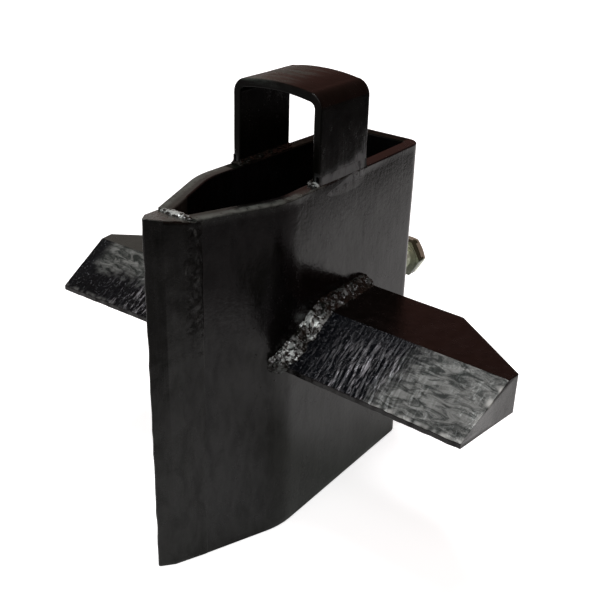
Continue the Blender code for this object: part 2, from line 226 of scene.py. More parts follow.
class Shader(Graph):
    """A Principled material under construction."""

    def __init__(self, name):
        self.material = bpy.data.materials.new(name)
        self.material.use_nodes = True
        super().__init__(self.material.node_tree)
        self.surface = self.tree.nodes["Principled BSDF"]
        self.place = self.node("ShaderNodeTexCoord", {}).outputs["Object"]

    def noise(self, scale, detail=3.0, roughness=0.5, distortion=0.0, vector=None):
        inputs = {"Vector": vector or self.place, "Scale": scale, "Detail": detail,
                  "Roughness": roughness, "Distortion": distortion}
        return self.node("ShaderNodeTexNoise", inputs).outputs["Fac"]

    def streaks(self, scale, detail=4.0, roughness=0.6, distortion=0.0):
        """A noise with a scale of its own along each axis."""
        mapping = self.node("ShaderNodeMapping", {"Vector": self.place, "Scale": scale})
        return self.noise(1.0, detail, roughness, distortion, mapping.outputs["Vector"])

    def attribute(self, name):
        return self.node("ShaderNodeAttribute", {}, attribute_name=name).outputs["Fac"]

    def source(self, socket):
        """What drives one of the surface's sockets so far."""
        return self.surface.inputs[socket].links[0].from_socket

    def drive(self, socket, value):
        self.tree.links.new(value, self.surface.inputs[socket])

    def bump(self, height, depth):
        """Add relief to the relief that is there."""
        item = self.node("ShaderNodeBump", {"Height": height, "Distance": depth})
        if self.surface.inputs["Normal"].is_linked:
            self.tree.links.new(self.source("Normal"), item.inputs["Normal"])
        self.drive("Normal", item.outputs["Normal"])

    def cover(self, share, colour, rough=None):
        """Lay a colour, and a roughness, over the paint where share is high."""
        self.drive("Base Color", self.blend(share, self.source("Base Color"), colour))
        if rough is not None:
            duller = self.spread(share, 0.0, 1.0, 0.0, rough)
            self.drive("Roughness", self.sum(self.source("Roughness"), duller))


def enamel(name, dark, light, gloss, brush_marks=0.00004, ior=PAINT_IOR):
    """Black brushed-on gloss: orange peel, runs, broad waves, duller patches and thin spots.

    gloss is the paint's roughness from its glossiest patches to its dullest.
    """
    shader = Shader(name)
    shader.surface.inputs["IOR"].default_value = ior
    patches = shader.noise(30.0, 5.0, 0.65, 0.4)
    runs = shader.streaks((310.0, 310.0, 16.0))
    mottle = shader.sum(shader.spread(patches, 0.35, 0.65, 0.0, 0.7),
                        shader.spread(runs, 0.4, 0.7, 0.0, 0.3))
    shader.drive("Base Color", shader.blend(mottle, dark, light))
    dust = shader.noise(260.0, 6.0, 0.7)
    dull = shader.sum(shader.spread(mottle, 0.1, 0.9, *gloss), shader.spread(dust, 0.50, 0.72, 0.0, 0.12))
    shader.drive("Roughness", dull)
    thin = shader.streaks((150.0, 150.0, 60.0), 5.0, 0.62, 0.5)
    shader.drive("Metallic", shader.spread(thin, 0.34, 0.74, 0.0, 0.36))
    shader.bump(shader.noise(24.0, 1.5, 0.4), BROAD_WAVES)
    shader.bump(runs, brush_marks)
    shader.bump(shader.noise(430.0, 2.5, 0.55), ORANGE_PEEL)
    return shader


def sleeve_enamel():
    """The plate's paint: chipped bright, with a painted highlight along the outer edge, on the rim by the
    nose, and paler brownish grey inside it.
    """
    shader = enamel("sleeve_enamel", *PLATE_PAINT, (0.14, 0.25))
    # Paler brownish grey on the plate's inside, and on the rim's inner half, towards the nose
    dust = shader.spread(shader.noise(90.0, 4.0, 0.6), 0.3, 0.7, 0.7, 1.0)
    shader.cover(shader.times(shader.attribute("paler_inside"), dust), (0.028, 0.027, 0.022), 0.4)
    # Chips of bright worn paint, with a painted highlight along the rim's outer edge
    chips = shader.spread(shader.noise(260.0, 4.0, 0.65), 0.34, 0.62, 0.35, 1.0)
    wear_and_sheen = shader.times(shader.attribute("wear_and_sheen"), chips)
    shader.cover(wear_and_sheen, (0.070, 0.080, 0.071), 0.20)
    return shader.material


def shaded_rim_enamel():
    """A darker, greener copy of the paint with a weaker gloss, for painted shade on the rim's far side and
    across the back.
    """
    return enamel("shaded_rim_enamel", (0.0012, 0.0020, 0.0012), (0.0030, 0.0044, 0.0028), (0.30, 0.45),
                  ior=RIM_IOR).material


def seam_enamel():
    """Paint over the ground seam, dull and dark in the pits that the grinding left near the rim."""
    shader = enamel("seam_enamel", (0.0016, 0.0017, 0.0012), (0.0040, 0.0040, 0.0038), (0.18, 0.32))
    blotch = shader.spread(shader.noise(300.0, 4.0, 0.65), 0.40, 0.62)
    pitted = shader.times(shader.attribute("pitted"), blotch)
    scuffs = shader.spread(shader.streaks((420.0, 420.0, 130.0), 4.0, 0.65), 0.56, 0.70)
    shader.cover(pitted, (0.0020, 0.0022, 0.0016), 0.30)
    shader.cover(shader.times(shader.attribute("pitted"), scuffs), (0.034, 0.036, 0.034))
    shader.drive("Metallic", shader.sum(shader.source("Metallic"), shader.times(pitted, 0.6), "MAXIMUM"))
    return shader.material


def ground_pale(shader, streak):
    """Smears of pale ground metal, their upright streaks as coarse as streak says, and the painted
    highlight up the legs' rear edges.
    """
    smear = shader.streaks((200.0, 210.0, streak), 4.0, 0.62, 1.2)
    share = shader.times(shader.attribute("ground_and_highlight"), shader.spread(smear, 0.28, 0.56, 0.25, 1.0))
    shader.cover(share, (0.118, 0.130, 0.133), 0.15)


def ground_enamel():
    """Where the handle's outer welds were ground off: pale smears with thin paint dragged over them."""
    shader = enamel("ground_enamel", *PLATE_PAINT, (0.16, 0.28))
    ground_pale(shader, 70.0)
    return shader.material


def nose_enamel():
    """The solid bar, its paint dragged up and down over the grinding marks."""
    shader = enamel("nose_enamel", (0.0017, 0.0022, 0.0014), (0.0058, 0.0060, 0.0056), (0.18, 0.34))
    shader.bump(shader.streaks((520.0, 520.0, 40.0), 5.0, 0.65), 0.00012)
    return shader.material


def handle_enamel():
    """Paint dragged thin across the top, over pale ground metal at the legs' feet."""
    shader = enamel("handle_enamel", (0.0016, 0.0018, 0.0013), (0.0032, 0.0032, 0.0026), (0.16, 0.26),
                    brush_marks=0.00008, ior=HANDLE_IOR)
    drag = shader.streaks((45.0, 330.0, 200.0), distortion=0.8)
    dragged = shader.times(shader.attribute("dragged"), shader.spread(drag, 0.38, 0.62))
    shader.cover(dragged, (0.032, 0.040, 0.035), 0.15)
    ground_pale(shader, 60.0)
    return shader.material


def wing_enamel():
    return enamel("wing_enamel", (0.0012, 0.0012, 0.0009), (0.0026, 0.0022, 0.0019), (0.17, 0.26),
                  ior=WING_IOR).material


def cut_enamel():
    """Thin paint over a flame-cut face, duller and paler towards the wing's tip, the paler part a painted
    sheen.
    """
    shader = enamel("cut_enamel", (0.0015, 0.0018, 0.0026), (0.0036, 0.0046, 0.0060), (0.10, 0.19),
                    ior=CUT_IOR)
    wear_and_sheen = shader.attribute("wear_and_sheen")
    grit = shader.noise(330.0, 5.0, 0.7)
    smear = shader.streaks((90.0, 260.0, 260.0), 5.0, 0.66, 0.9)
    pale = shader.blend(shader.spread(smear, 0.38, 0.64), (0.018, 0.022, 0.020), (0.142, 0.153, 0.145))
    # Pale specks, partly painted glints that make up for the cut face's weak gloss
    specks_and_glints = shader.spread(shader.noise(640.0, 4.0, 0.65), 0.56, 0.74)
    shader.cover(specks_and_glints, (0.070, 0.076, 0.080))
    # Painted highlights: pale strokes along the drag lines
    line_highlights = shader.spread(shader.streaks((620.0, 120.0, 120.0)), 0.54, 0.66)
    line_highlights = shader.times(shader.attribute("lined"), line_highlights)
    shader.cover(line_highlights, (0.170, 0.172, 0.182), 0.10)
    # Painted sheen: the pale, duller zone towards the tip
    shader.cover(wear_and_sheen, pale, 0.14)
    # Painted highlight: a pale line along the tip's edge and dashes along the front edge, where the metal
    # is bare
    shader.cover(shader.attribute("edge"), (0.36, 0.38, 0.36), 0.2)
    shader.bump(shader.streaks((1150.0, 150.0, 150.0)), 0.00017)
    shader.bump(shader.times(grit, shader.spread(wear_and_sheen, 0.0, 1.0, 0.30, 1.0)), 0.00026)
    return shader.material


def weld_enamel():
    """Paint on the beads, with pale bare metal and painted glints where a fine noise peaks inside a broad
    one.
    """
    shader = enamel("weld_enamel", (0.0024, 0.0028, 0.0020), (0.0080, 0.0084, 0.0066), (0.12, 0.26))
    broad = shader.spread(shader.noise(95.0, 2.0, 0.5), 0.35, 0.65, -0.06, 0.06)
    peaks = shader.spread(shader.sum(shader.noise(360.0, 5.0, 0.72), broad), 0.49, 0.58)
    glint_flecks = shader.times(peaks, shader.attribute("bare_and_glint"))
    # Painted glints: pale flecks of bare metal
    shader.cover(glint_flecks, (0.58, 0.65, 0.63))
    shader.drive("Metallic", shader.times(glint_flecks, 0.4))
    return shader.material


def zinc(name, light, dark):
    """Patchy yellowish plating."""
    shader = Shader(name)
    patches = shader.noise(190.0, 5.0, 0.65)
    shader.drive("Base Color", shader.blend(shader.spread(patches, 0.3, 0.7), light, dark))
    shader.surface.inputs["Metallic"].default_value = 0.8
    shader.drive("Roughness", shader.spread(patches, 0.3, 0.7, 0.42, 0.24))
    shader.bump(shader.noise(900.0), 0.00004)
    return shader.material


def floor_material():
    """White paper that glows a little, as painted light, on a pale grey floor that shows to its right and
    in front, painted darker off to the object's right as painted shade for the light's fall-off.

    The camera itself sees an even white, as in the photograph, so this only shows in the gloss; the
    stronger glow that it sees is painted light, which keeps the drop shadow faint.
    """
    shader = Shader("pale_floor")
    split = shader.node("ShaderNodeSeparateXYZ", {0: shader.place})
    right = shader.spread(split.outputs["X"], SHEET_RIGHT + SHEET_SOFT, SHEET_RIGHT - SHEET_SOFT)
    front = shader.spread(split.outputs["Y"], SHEET_FRONT - SHEET_SOFT, SHEET_FRONT + SHEET_SOFT)
    sheet = shader.times(right, front)
    tone = shader.spread(shader.noise(3.0, 4.0), 0.3, 0.7)
    # Painted shade: off the paper and to the object's right, the floor darkens with distance from the
    # object, for the light's fall-off
    away = shader.node("ShaderNodeVectorMath", {0: shader.place}, operation="LENGTH")
    far = shader.times(shader.spread(away.outputs["Value"], FLOOR_NEAR, FLOOR_FAR),
                       shader.spread(split.outputs["X"], SIDE_NEAR, SIDE_FAR))
    grey = shader.blend(far, shader.blend(tone, (0.29, 0.29, 0.29), (0.32, 0.32, 0.32)), (0.05, 0.05, 0.05))
    white = shader.blend(tone, (0.80, 0.80, 0.80), (0.83, 0.83, 0.83))
    seen = shader.seen()
    shader.drive("Base Color", shader.blend(seen, shader.blend(sheet, grey, white), BACKDROP_WHITE))
    shader.drive("Roughness", shader.spread(shader.noise(90.0), 0.3, 0.7, 0.75, 0.9))
    shader.surface.inputs["Specular IOR Level"].default_value = 0.2
    # Painted light: the paper glows in the object's gloss, and the floor glows more for the camera, which
    # keeps the drop shadow faint
    shader.drive("Emission Color", shader.blend(seen, SHEET_GLOW, BACKDROP_GLOW))
    shader.drive("Emission Strength", shader.sum(sheet, seen, "MAXIMUM"))
    return shader.material


# ---- mesh helpers

PLATE_SHARP = 42.0  # degrees past which an edge is shaded sharp
BEAD_SHARP = 60.0
HEXAGON_SHARP = 28.0
FACES_UP = 0.6  # a face whose normal is more upright than this is part of a top


def place(x, y, z):
    """A point whose y is counted from the cutting edge, in the frame's coordinates."""
    return Vector((x, y + EDGE_Y, z))


def skin(name, rings, loop=False):
    """A mesh over rings that all have the same count; an open row of rings gets end faces."""
    count = len(rings[0])
    points = [point for ring in rings for point in ring]
    pairs = list(zip(range(len(rings)), range(1, len(rings))))
    faces = []
    if loop:
        pairs.append((len(rings) - 1, 0))
    else:
        last = (len(rings) - 1) * count
        faces += [tuple(range(count)), tuple(range(last, last + count))]
    for low, high in pairs:
        for i in range(count):
            j = (i + 1) % count
            faces.append((low * count + i, low * count + j, high * count + j, high * count + i))
    mesh = bpy.data.meshes.new(name)
    mesh.from_pydata(points, [], faces)
    return solid(name, mesh)


def solid(name, mesh):
    """Link a mesh as an object, with its faces all turned outwards."""
    bm = bmesh.new()
    bm.from_mesh(mesh)
    bmesh.ops.recalc_face_normals(bm, faces=bm.faces[:])
    bm.to_mesh(mesh)
    bm.free()
    item = bpy.data.objects.new(name, mesh)
    bpy.context.scene.collection.objects.link(item)
    return item


def finish(item, material, *nodes, body="sleeve", sharp=PLATE_SHARP):
    """Shade a piece smooth, give it its material and tie it to the frame."""
    item.data.materials.append(material)
    item.data.shade_smooth()
    item.data.set_sharp_from_angle(angle=radians(sharp))
    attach(item, body)
    if nodes:
        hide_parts(*nodes)


def second_material(item, material, chosen):
    """Give a material of their own to the faces for which chosen(face) is true."""
    item.data.materials.append(material)
    for face in item.data.polygons:
        face.material_index = 1 if chosen(face) else 0


def mark(item, name, values):
    """Store one number for each vertex, for the materials to read."""
    entries = item.data.attributes.new(name, "FLOAT", "POINT").data
    for entry, value in zip(entries, values):
        entry.value = value


def grain(x, y, z):
    """Smooth noise that wanders between about plus and minus one."""
    return noise.noise(Vector((x, y, z)))


def ramp(value, low, high):
    """Zero up to low, one from high on, and smooth between them."""
    share = max(0.0, min(1.0, (value - low) / (high - low)))
    return share * share * (3.0 - 2.0 * share)


# ---- outlines

def outline(*corners):
    return [Vector(corner) for corner in corners]


def meet(first, second):
    """Where two lines cross, each given as a point and a direction."""
    point, run = first
    other, side = second
    return point + run * ((other - point).cross(side) / run.cross(side))


def shifted(start, end, distance):
    """The line from start to end, moved to its left, as a point and a direction."""
    run = (end - start).normalized()
    return start + Vector((-run.y, run.x)) * distance, run


def round_corner(before, corner, after, radius, steps):
    """Points of an arc that rounds one corner of an outline."""
    back = (before - corner).normalized()
    ahead = (after - corner).normalized()
    half = 0.5 * back.angle(ahead)
    middle = corner + (back + ahead).normalized() * (radius / sin(half))
    start = corner + back * (radius / tan(half)) - middle
    end = corner + ahead * (radius / tan(half)) - middle
    spokes = [start.slerp(end, step / steps).normalized() for step in range(steps + 1)]
    return [middle + spoke * radius for spoke in spokes]


def divided(start, end, count):
    """Points from start up to, not including, end."""
    return [start.lerp(end, i / count) for i in range(count)]


def rounded_loop(corners, radius, spacings, steps=3):
    """A closed outline with rounded corners; spacings holds the mesh spacing of the run after each one."""
    arcs = []
    count = len(corners)
    for i, corner in enumerate(corners):
        arcs.append(round_corner(corners[i - 1], corner, corners[(i + 1) % count], radius, steps))
    points = []
    for i, arc in enumerate(arcs):
        following = arcs[(i + 1) % count][0]
        run = following - arc[-1]
        inset = run.normalized() * min(SUPPORT, 0.2 * run.length)
        start = arc[-1] + inset
        end = following - inset
        points += arc + divided(start, end, max(1, round(run.length / spacings[i]))) + [end]
    return points


def half_outline(inset):
    """One side of the sleeve from the seam to the middle of the back, moved in by inset."""
    front = shifted(SEAM, KNEE, inset)
    rear = shifted(KNEE, BACK_CORNER, inset)
    back = shifted(BACK_CORNER, Vector((0.0, LENGTH)), inset)
    start = meet(front, (Vector((0.0, SEAM.y)), Vector((1.0, 0.0))))
    knee = meet(front, rear)
    corner = meet(rear, back)
    middle = Vector((0.0, corner.y))
    bend = round_corner(start, knee, corner, KNEE_RADIUS - inset, 18)
    turn = round_corner(knee, corner, middle, BACK_RADIUS - inset, 14)
    return (divided(start, bend[0], 14) + bend[:-1] + divided(bend[-1], turn[0], 52)
            + turn[:-1] + divided(turn[-1], middle, 9) + [middle])


OUTSIDE = half_outline(0.0)


def wall_x(y):
    """The half width of the sleeve's outside at a distance behind the nose."""
    for low, high in zip(OUTSIDE, OUTSIDE[1:]):
        if low.y <= y <= high.y:
            return low.x + (high.x - low.x) * (y - low.y) / (high.y - low.y)
    return BACK_CORNER.x


def wavy(point, size, scale, seed=0.0):
    """A smooth offset that wanders between plus and minus size."""
    return size * grain(point[0] * scale + seed, point[1] * scale, point[2] * scale)


# ---- sleeve and nose

PLATE_CORNERS = outline((WALL, 0.0), (WALL, HEIGHT), (0.0, HEIGHT), (0.0, 0.0))
PLATE_SECTION = rounded_loop(PLATE_CORNERS, RIM_ROUND, (0.004, 0.0009, 0.004, 0.004))


def plate_ring(inner, outer):
    """The plate's upright section at one station: up the outside, over the rim, down the inside."""
    across = (outer - inner) / WALL
    ring = []
    for point in PLATE_SECTION:
        flat = inner + across * point.x
        spot = place(flat.x, flat.y, point.y)
        push = wavy(spot, PLATE_WAVE, 26.0) * (1.0 if RIM_ROUND < point.y < HEIGHT - RIM_ROUND else 0.0)
        ring.append(spot + Vector((across.x, across.y, 0.0)) * push)
    return ring


def make_sleeve(material, rim):
    half = list(zip(half_outline(WALL), half_outline(0.0)))
    mirrored = [(Vector((-low.x, low.y)), Vector((-high.x, high.y))) for low, high in half]
    stations = half + mirrored[-2::-1]
    item = skin("sleeve_shell", [plate_ring(low, high) for low, high in stations])
    wear_and_sheen = []
    paler_inside = []
    for low, high in stations:
        # The rim's top is worn bright towards the nose; lip is a painted highlight along its outer edge up
        # to the handle
        front = 1.0 - ramp(high.y, RIM_PALE_TO, RIM_PALE_TO + 0.020)
        lip = 0.7 * (1.0 - ramp(high.y, HANDLE_FRONT, HANDLE_FRONT + 0.01))
        inside = 1.0 - ramp(low.y, PALER_INSIDE_TO - 0.002, PALER_INSIDE_TO + 0.002)
        for point in PLATE_SECTION:
            top = ramp(point.y, HEIGHT - 0.0012, HEIGHT - 0.0004)
            outward = point.x / WALL
            wear_and_sheen.append(top * max(front * ramp(outward, 0.30, 0.65), lip * ramp(outward, 0.80, 0.92)))
            paler_inside.append(inside * (1.0 - ramp(outward, 0.35, 0.70)))
    mark(item, "wear_and_sheen", wear_and_sheen)
    mark(item, "paler_inside", paler_inside)
    finish(item, material, "sleeve_plate")

    def far_rim(face):
        """The rim on the left and across the back."""
        behind = face.center.y - EDGE_Y > RIM_PALE_TO + 0.015
        return behind and face.center.x < BACK_CORNER.x - BACK_RADIUS and face.normal.z > FACES_UP

    # The far rim and the back take the darker copy of the paint, as painted shade
    second_material(item, rim, far_rim)


def nose_section():
    """The bar's outline: cutting edge, bevels, flanks, and a back set in for the seam welds."""
    flank = (SEAM - CUTTING_BEVEL).normalized()
    half = [
        Vector((EDGE_HALF_WIDTH, 0.0)),
        CUTTING_BEVEL,
        SEAM + flank * 0.0002,
        Vector((SEAM.x - GROOVE, SEAM.y + 0.0004)),
    ]
    return half + [Vector((-point.x, point.y)) for point in reversed(half)]


def make_nose(material, top):
    """The bar, a little uneven along its cutting edge, with its top eased all round."""
    section = rounded_loop(nose_section(), NOSE_EASE, [0.0012] * 8, 2)
    levels = [(0.0, 0.80), (0.0, 0.955), (NOSE_EASE, 1.0)]
    levels += [(NOSE_EASE + (HEIGHT - 2.0 * NOSE_EASE) * i / 110, 1.0) for i in range(1, 110)]
    levels += [(HEIGHT - NOSE_EASE, 1.0), (HEIGHT, 0.955), (HEIGHT, 0.80)]
    rings = []
    centre = Vector((0.0, 0.5 * SEAM.y))
    for level, size in levels:
        end = size < 1.0
        ring = []
        for point in section:
            flat = centre.lerp(point, size)
            share = flat.y / SEAM.y
            lift = (NOSE_RISE - (NOSE_RISE + NOSE_DROP) * share) * level / HEIGHT
            spot = place(flat.x, flat.y, level + lift)
            edge = max(0.0, 1.0 - flat.y / 0.005)
            outward = Vector((flat.x, 0.0, 0.0)).normalized() if abs(flat.x) > 1e-6 else Vector()
            spot += outward * wavy(spot, 0.00018, 120.0) * (0.0 if end else 1.0)
            spot.y += abs(wavy(spot, 0.0009, 55.0, 4.0)) * edge
            ring.append(spot)
        rings.append(ring)
    item = skin("nose_wedge", rings)
    mark(item, "wear_and_sheen", [0.8] * len(item.data.vertices))
    finish(item, material, "nose_bar")
    second_material(item, top, lambda face: face.normal.z > FACES_UP)


def make_seam_weld(word, side, material):
    """The groove weld between bar and plate, ground nearly flush, pitted where it nears the rim."""
    plate = (KNEE - SEAM).normalized()
    bar = (CUTTING_BEVEL - SEAM).normalized()
    off_plate = Vector((plate.y, -plate.x))
    off_bar = Vector((-bar.y, bar.x))
    rings = []
    pitted = []
    count = 300
    for i in range(count + 1):
        height = 0.0005 + (HEIGHT - NOSE_DROP - 0.0007) * i / count
        wander = 1.0 + 0.22 * grain(height * 70.0, side, 2.0)
        rough = ramp(height + 0.012 * grain(height * 90.0, side, 6.0), 0.120, 0.150)
        ring = []
        for step in range(25):
            across = step / 12 - 1.0
            wide = wander * (SEAM_ON_PLATE if across > 0.0 else SEAM_ON_BAR)
            flank = plate * across * wide if across > 0.0 else bar * -across * wide
            outward = off_plate.lerp(off_bar, 0.5 - 0.5 * across).normalized()
            crown = SEAM_PROUD * (1.0 - across * across) ** (0.6 if across > 0.0 else 1.6)
            spot = Vector((across * wide * 300.0, height * 170.0, side))
            pits = min(0.0, noise.fractal(spot, 0.7, 2.0, 4) - 0.02)
            flat = SEAM + flank + outward * (crown * (0.7 + 0.3 * rough + 1.5 * rough * pits) - 0.00006)
            ring.append(place(side * flat.x, flat.y, height))
            pitted.append(rough * ramp(1.0 - abs(across), 0.0, 0.45))
        for across in (0.8, -0.8):
            wide = wander * (SEAM_ON_PLATE if across > 0.0 else SEAM_ON_BAR)
            flat = SEAM + (plate if across > 0.0 else bar) * wide * 0.8 - Vector((BURIED, 0.0))
            ring.append(place(side * flat.x, flat.y, height))
            pitted.append(0.0)
        rings.append(ring)
    item = skin(f"seam_bead_{word}", rings)
    mark(item, "pitted", pitted)
    finish(item, material, f"seam_weld_{word}", sharp=BEAD_SHARP)


def make_cap_weld(material):
    """A low lumpy bead across the rim behind the bar's top."""
    rings = []
    count = 60
    for i in range(count + 1):
        share = i / count
        x = CAP_REACH * (2.0 * share - 1.0)
        taper = sqrt(max(0.02, sin(pi * share)))
        lump = 1.0 + 0.35 * grain(x * 380.0, 3.0, 0.0)
        ring = []
        for step in range(17):
            angle = pi * (step / 16)
            away = CAP_DEPTH * taper * lump * cos(angle)
            tall = CAP_RISE * taper * lump * sin(angle)
            tall += 0.0003 * grain(x * 900.0, away * 900.0, 5.0) * sin(angle)
            ring.append(place(x, SEAM.y - 0.0004 + away, HEIGHT - 0.0006 + tall))
        rings.append(ring)
    item = skin("cap_bead", rings)
    # Bare metal and painted glints over most of the cap bead
    mark(item, "bare_and_glint", [0.75] * len(item.data.vertices))
    finish(item, material, "nose_cap_weld", sharp=BEAD_SHARP)


# ---- wings

# A wing's section as (y, z), counted from the lower front edge
WING_CORNERS = outline((0.0, 0.0), (WING_DEPTH, 0.0), (WING_DEPTH, WING_THICKNESS),
                       (WING_BEVEL_RUN, WING_THICKNESS), (0.0, WING_LAND))
BEVEL_END, BEVEL_START = WING_CORNERS[3:]
BEVEL_RUN = (BEVEL_END - BEVEL_START).normalized()
BEVEL_OUT = Vector((-BEVEL_RUN.y, BEVEL_RUN.x))
BEVEL_WIDTH = (BEVEL_END - BEVEL_START).length
WING_SPACINGS = (0.0030, 0.0030, 0.0030, 0.0007, 0.0004)  # mesh spacing on each face, fine on the bevel
WING_LENGTH = WING_TIP_X - WING_WALL_X
WING_REACH = WING_TIP_X - WING_ROUND - 0.0001  # where the rounding of the tip's edges starts
CLIP_SHARE = (CLIP_START_X - WING_WALL_X) / (WING_REACH - WING_WALL_X)


def lined(along, across):
    """How strongly the drag lines show at a spot, in relief and in painted highlights: most halfway along
    the wing and low on the bevel.
    """
    share = (along - WING_WALL_X) / WING_LENGTH
    return exp(-((share - 0.42) / 0.20) ** 2) * ramp(1.0 - across, 0.0, 0.45)


def cut_height(along, across, seed):
    """How far a flame-cut face stands out: curved drag lines, low swells and small pits.

    The lines are strongest halfway along the wing and fade out towards its tip.
    """
    low = 1.0 - across
    wander = 0.0014 * grain(along * 70.0, across * 3.0, seed)
    line = (along - DRAG_LAG * low * low + wander) / DRAG_SPACING
    coarse = grain(line * 1.1, across * 2.2, seed)
    fine = grain(line * 2.7, across * 7.0, seed + 9.0)
    swell = grain(along * 45.0, across * 1.6, seed + 20.0)
    pits = min(0.0, grain(along * 480.0, across * 20.0, seed + 31.0) + 0.30)
    share = (along - WING_WALL_X) / WING_LENGTH
    strength = 0.24 + 1.25 * lined(along, across) - 0.14 * share
    return DRAG_DEPTH * (strength * (coarse + 0.5 * fine) + 0.7 * swell + 0.9 * pits)


def wing_stations():
    """A wing's rings of points: how far out, then how far the rounded tip bulges and draws in."""
    before = round(WING_LENGTH * CLIP_SHARE / CUT_STEP)
    after = round(WING_LENGTH * (1.0 - CLIP_SHARE) / CUT_STEP)
    shares = [CLIP_SHARE * i / before for i in range(before)]
    shares += [CLIP_SHARE + (1.0 - CLIP_SHARE) * i / after for i in range(after + 1)]
    turns = [radians(angle) for angle in (30.0, 60.0, 90.0)]
    rounding = [(1.0, sin(turn), 1.0 - cos(turn)) for turn in turns]
    return [(share, 0.0, 0.0) for share in shares] + rounding + [(1.0, 1.0, 3.0)]


def make_wing(word, side, front, underside, plain, cut):
    section = rounded_loop(WING_CORNERS, WING_ROUND, WING_SPACINGS)
    seed = 3.0 * side
    centre = Vector((0.5 * TIP_BACK, 0.5 * WING_THICKNESS))
    rings = []
    marks = []
    for share, bulge, inset in wing_stations():
        clipped = max(0.0, (share - CLIP_SHARE) / (1.0 - CLIP_SHARE))
        depth = WING_DEPTH + (TIP_BACK - WING_DEPTH) * clipped
        ring = []
        for point in section:
            y, z = point
            if y > WING_BEVEL_RUN:
                flat_share = (y - WING_BEVEL_RUN) / (WING_DEPTH - WING_BEVEL_RUN)
                y = WING_BEVEL_RUN + (depth - WING_BEVEL_RUN) * flat_share
            root = wall_x(front + y) - 0.003
            tip = WING_REACH - WING_TIP_SLANT * (1.0 - min(1.0, y / TIP_BACK))
            x = root + (tip - root) * share
            across = (Vector((y, z)) - BEVEL_START).dot(BEVEL_RUN) / BEVEL_WIDTH
            off_face = (Vector((y, z)) - BEVEL_START).dot(BEVEL_OUT)
            on_cut = abs(off_face) < 0.0004 and 0.0 < across < 1.0
            marks.append((on_cut, *wear(side, x, across), lined(x, across)))
            if on_cut:
                fade = min(1.0, (1.0 - across) * 14.0)
                push = cut_height(x, across, seed) * fade
                y += BEVEL_OUT.x * push
                z += BEVEL_OUT.y * push
            if y < NICKED:
                y += 0.0006 * max(0.0, grain(x * 130.0, z * 60.0, seed)) * (1.0 - y / NICKED)
                z += 0.0003 * grain(x * 210.0, 8.0, seed) * (1.0 - y / NICKED)
            if inset > 0.0:
                flat = Vector((y, z))
                y, z = flat + (centre - flat).normalized() * WING_ROUND * inset
                x += WING_ROUND * bulge
            lead = WING_SWEEP * (x - WING_WALL_X) / WING_LENGTH
            ring.append(place(side * x, front + y - lead, underside + z))
        rings.append(ring)
    item = skin(f"wing_{word}_cut", rings)
    for index, name in enumerate(("wear_and_sheen", "edge", "lined"), 1):
        mark(item, name, [entry[index] for entry in marks])
    finish(item, plain, f"wing_{word}")
    second_material(item, cut, lambda face: all(marks[i][0] for i in face.vertices))


def wear(side, along, across):
    """How worn a bevel is at a spot, its pale part a painted sheen, and how bare the metal is along its
    edges, with painted highlights there.

    The right one is worn and pale towards its tip, the left one along its upper half.
    """
    spot = Vector((along, 0.040 * across, side))
    patch = 0.64 * noise.noise(spot * 60.0) + 0.40 * noise.noise(spot * 300.0)
    # The edges are bare metal carrying painted highlights: a line along the tip's edge and dashes along the
    # lower front edge
    tip = ramp(along, WING_TIP_X - 0.0065, WING_TIP_X - 0.0035)
    low = ramp(along, 0.085, 0.105) * (1.0 - ramp(across, 0.02, 0.07))
    if side > 0.0:
        wear_and_sheen = (along - PALE_FROM + PALE_SLANT * (across - 0.5)) / PALE_BLEND + patch
        bare_and_glint = max(tip, 0.7 * low)
    else:
        wear_and_sheen = 0.7 * (across - 0.42) / 0.14 + 1.3 * patch
        wear_and_sheen = min(1.0, wear_and_sheen) * (1.0 - ramp(along, WING_TIP_X - 0.018, WING_TIP_X - 0.008))
        bare_and_glint = 0.18 * low
    chips = 0.4 + 1.6 * grain(along * 260.0, across * 9.0, 3.0)
    return max(0.0, min(1.0, wear_and_sheen)), max(0.0, min(1.0, chips)) * bare_and_glint


# ---- welds

def outward_walk(corners, spacing):
    """Stations round a convex outline: point, outward direction and distance walked."""
    stations = []
    walked = 0.0
    count = len(corners)
    for i, corner in enumerate(corners):
        before = (corner - corners[i - 1]).normalized()
        run = corners[(i + 1) % count] - corner
        after = run.normalized()
        first = Vector((before.y, -before.x))
        last = Vector((after.y, -after.x))
        turns = max(1, round(degrees(first.angle(last)) / 7.0))
        for turn in range(turns + 1):
            stations.append((corner, first.slerp(last, turn / turns).normalized(), walked + 0.0004 * turn))
        walked += 0.0004 * turns
        steps = max(1, round(run.length / spacing))
        for step in range(1, steps):
            stations.append((corner + run * step / steps, last, walked + run.length * step / steps))
        walked += run.length
    return stations


def bead_lumps(walked, share, seed, pitch):
    """The bead's surface: crescent ripples left by each pool of metal, plus uneven lumps."""
    curve = 0.9 * pitch * (2.0 * share - 1.0) ** 2
    wander = 0.35 * pitch * grain(walked * 160.0, seed, 1.0)
    phase = (walked + curve + wander) / pitch
    pool = abs(sin(pi * phase)) ** 0.6
    lumps = grain(walked * 200.0, share * 2.4, seed)
    small = grain(walked * 620.0, share * 7.0, seed + 4.0)
    return 0.12 * pool + 0.50 * lumps + 0.26 * small


def plain_bead(corner, outward):
    """A few bare spots with painted glints all over."""
    return 0.25


